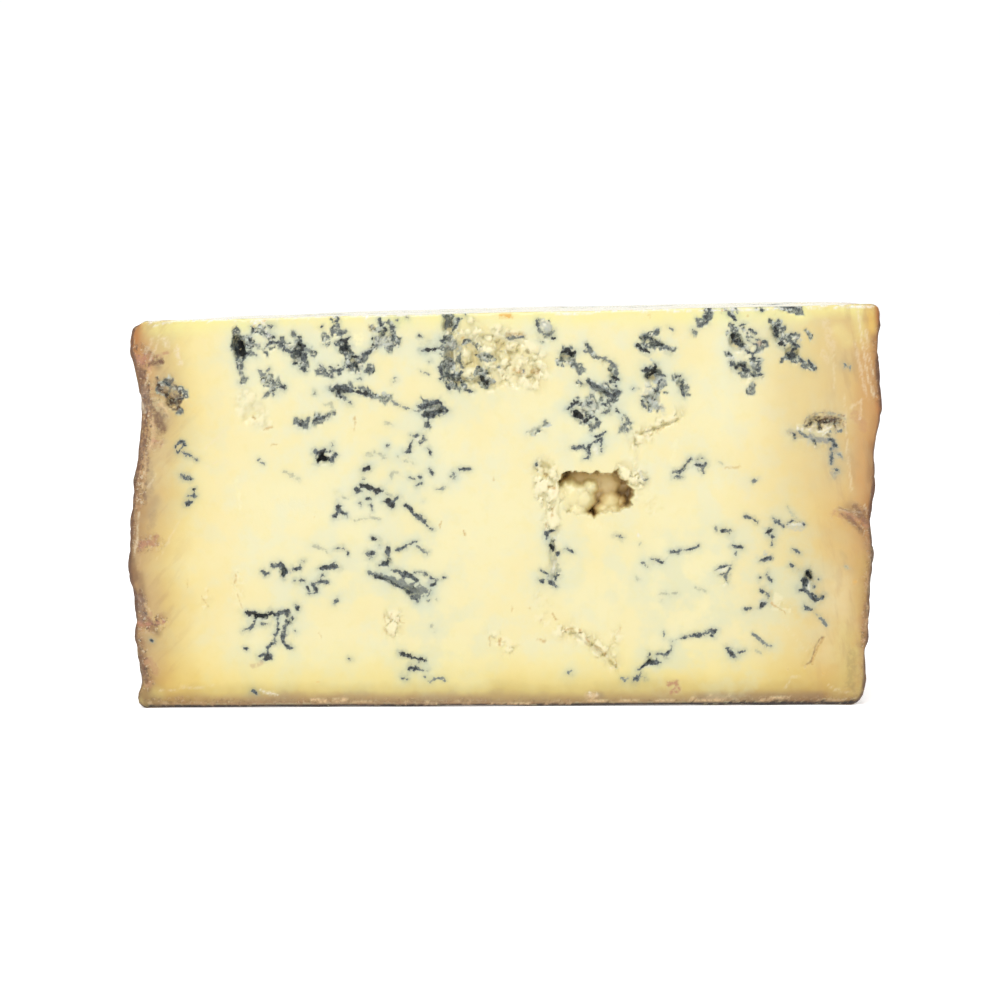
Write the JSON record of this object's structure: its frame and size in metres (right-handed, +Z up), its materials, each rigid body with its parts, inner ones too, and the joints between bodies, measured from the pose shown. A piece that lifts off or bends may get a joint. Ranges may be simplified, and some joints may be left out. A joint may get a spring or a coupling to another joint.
{
  "type": "stilton wedge",
  "caption": "Half round of blue-veined cheese cut from a tall wheel, with an upright cut face, a level cut top and a natural rind round the back and foot.",
  "frame": {"origin": "on the surface that the cheese stands on, below the middle of its box", "axes": "+Z up, +X along the diameter with the upright cut face looking along -Y, +Y towards the rind at the back"},
  "size_m": [0.2014, 0.1008, 0.1081],
  "materials": {
    "cheese": "satin"
  },
  "bodies": {
    "root": {"cheese": "cheese"}
  },
  "joints": []
}
